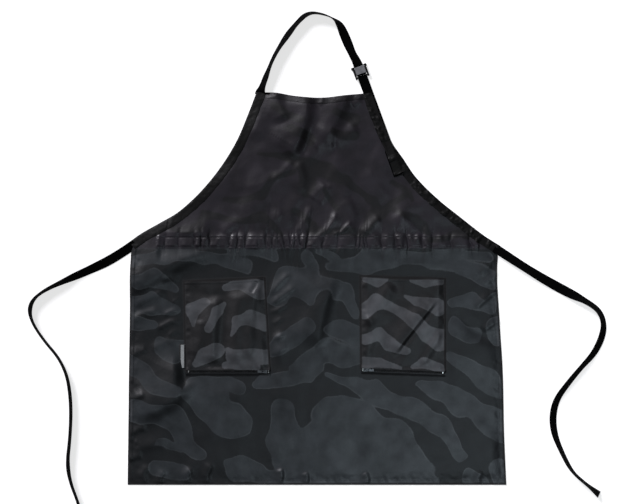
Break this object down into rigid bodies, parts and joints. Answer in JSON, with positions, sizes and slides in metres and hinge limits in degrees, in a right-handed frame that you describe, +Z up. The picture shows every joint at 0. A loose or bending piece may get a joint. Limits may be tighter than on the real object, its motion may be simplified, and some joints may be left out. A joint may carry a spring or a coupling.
{
  "type": "smock apron",
  "caption": "Bib apron laid flat, with an elasticated waist, patch pockets that empty through foot zips, waist ties and a buckled neck strap.",
  "frame": {"origin": "on the table, in the middle of the cloth", "axes": "+Z up from the table, +Y from the hem to the bib, +X to the right seen from above"},
  "size_m": [1.193, 1.0386, 0.01],
  "materials": {
    "camo_cloth": "woven satin polyester, tone-on-tone camouflage lobes",
    "binding_cloth": "same cloth as a crinkled bias strip",
    "lining_tape": "plain black polyester tape",
    "elastic": "knitted elastic",
    "label": "woven tab, black ends with a plain pale band",
    "webbing": "black polypropylene webbing, ribbed weave",
    "buckle_plastic": "moulded black acetal",
    "lever_plastic": "moulded grey acetal, smooth",
    "pin_steel": "plain steel pin",
    "zip_tape": "black woven zip tape",
    "zip_coil": "black nylon coil",
    "zip_stop_metal": "nickel-plated wire stops",
    "zip_slider_metal": "dark nickel with bright edges"
  },
  "bodies": {
    "skirt": {"skirt_panel": "camo_cloth", "waist_gathers": "camo_cloth", "pocket_panel_left": "camo_cloth", "pocket_panel_right": "camo_cloth", "zip_foot_strip_left": "camo_cloth", "zip_foot_strip_right": "camo_cloth", "waist_casing": "lining_tape", "waist_elastic": "elastic", "side_label": "label", "waist_tie_left": "webbing", "waist_tie_right": "webbing", "zip_tape_upper_left": "zip_tape", "zip_tape_lower_left": "zip_tape", "zip_coil_upper_left": "zip_coil", "zip_coil_lower_left": "zip_coil", "zip_top_stops_left": "zip_stop_metal", "zip_bottom_stop_left": "zip_stop_metal", "zip_tape_upper_right": "zip_tape", "zip_tape_lower_right": "zip_tape", "zip_coil_upper_right": "zip_coil", "zip_coil_lower_right": "zip_coil", "zip_top_stops_right": "zip_stop_metal", "zip_bottom_stop_right": "zip_stop_metal"},
    "bib": {"bib_panel": "camo_cloth", "bib_top_facing": "camo_cloth", "side_binding_left": "binding_cloth", "side_binding_right": "binding_cloth", "neck_strap": "webbing", "neck_strap_anchor": "webbing", "buckle_frame": "buckle_plastic", "buckle_pin": "pin_steel"},
    "buckle_lever": {"buckle_lever": "lever_plastic"},
    "slider_left": {"zip_slider_left": "zip_slider_metal"},
    "pull_left": {"zip_pull_left": "zip_slider_metal"},
    "slider_right": {"zip_slider_right": "zip_slider_metal"},
    "pull_right": {"zip_pull_right": "zip_slider_metal"}
  },
  "joints": [
    {"name": "waist_fold", "type": "hinge", "parent": "skirt", "child": "bib", "pos_m": [0, 0.10815, 0.007], "axis": [1, 0, 0], "range_deg": [0, 170]},
    {"name": "zip_left", "type": "slide", "parent": "skirt", "child": "slider_left", "axis": [-1, 0, 0], "range_m": [0, 0.146]},
    {"name": "pull_flip_left", "type": "hinge", "parent": "slider_left", "child": "pull_left", "pos_m": [-0.1065, -0.1695, 0.0059], "axis": [0, 1, 0], "range_deg": [0, 160]},
    {"name": "zip_right", "type": "slide", "parent": "skirt", "child": "slider_right", "axis": [0.9993, -0.0366, 0], "range_m": [0, 0.146]},
    {"name": "pull_flip_right", "type": "hinge", "parent": "slider_right", "child": "pull_right", "pos_m": [0.10105, -0.16612, 0.0059], "axis": [-0.0366, -0.9993, 0], "range_deg": [0, 160]},
    {"name": "buckle_release", "type": "hinge", "parent": "bib", "child": "buckle_lever", "pos_m": [0.08644, 0.45208, 0.006], "axis": [-0.9391, -0.3437, 0], "range_deg": [0, 100]}
  ]
}
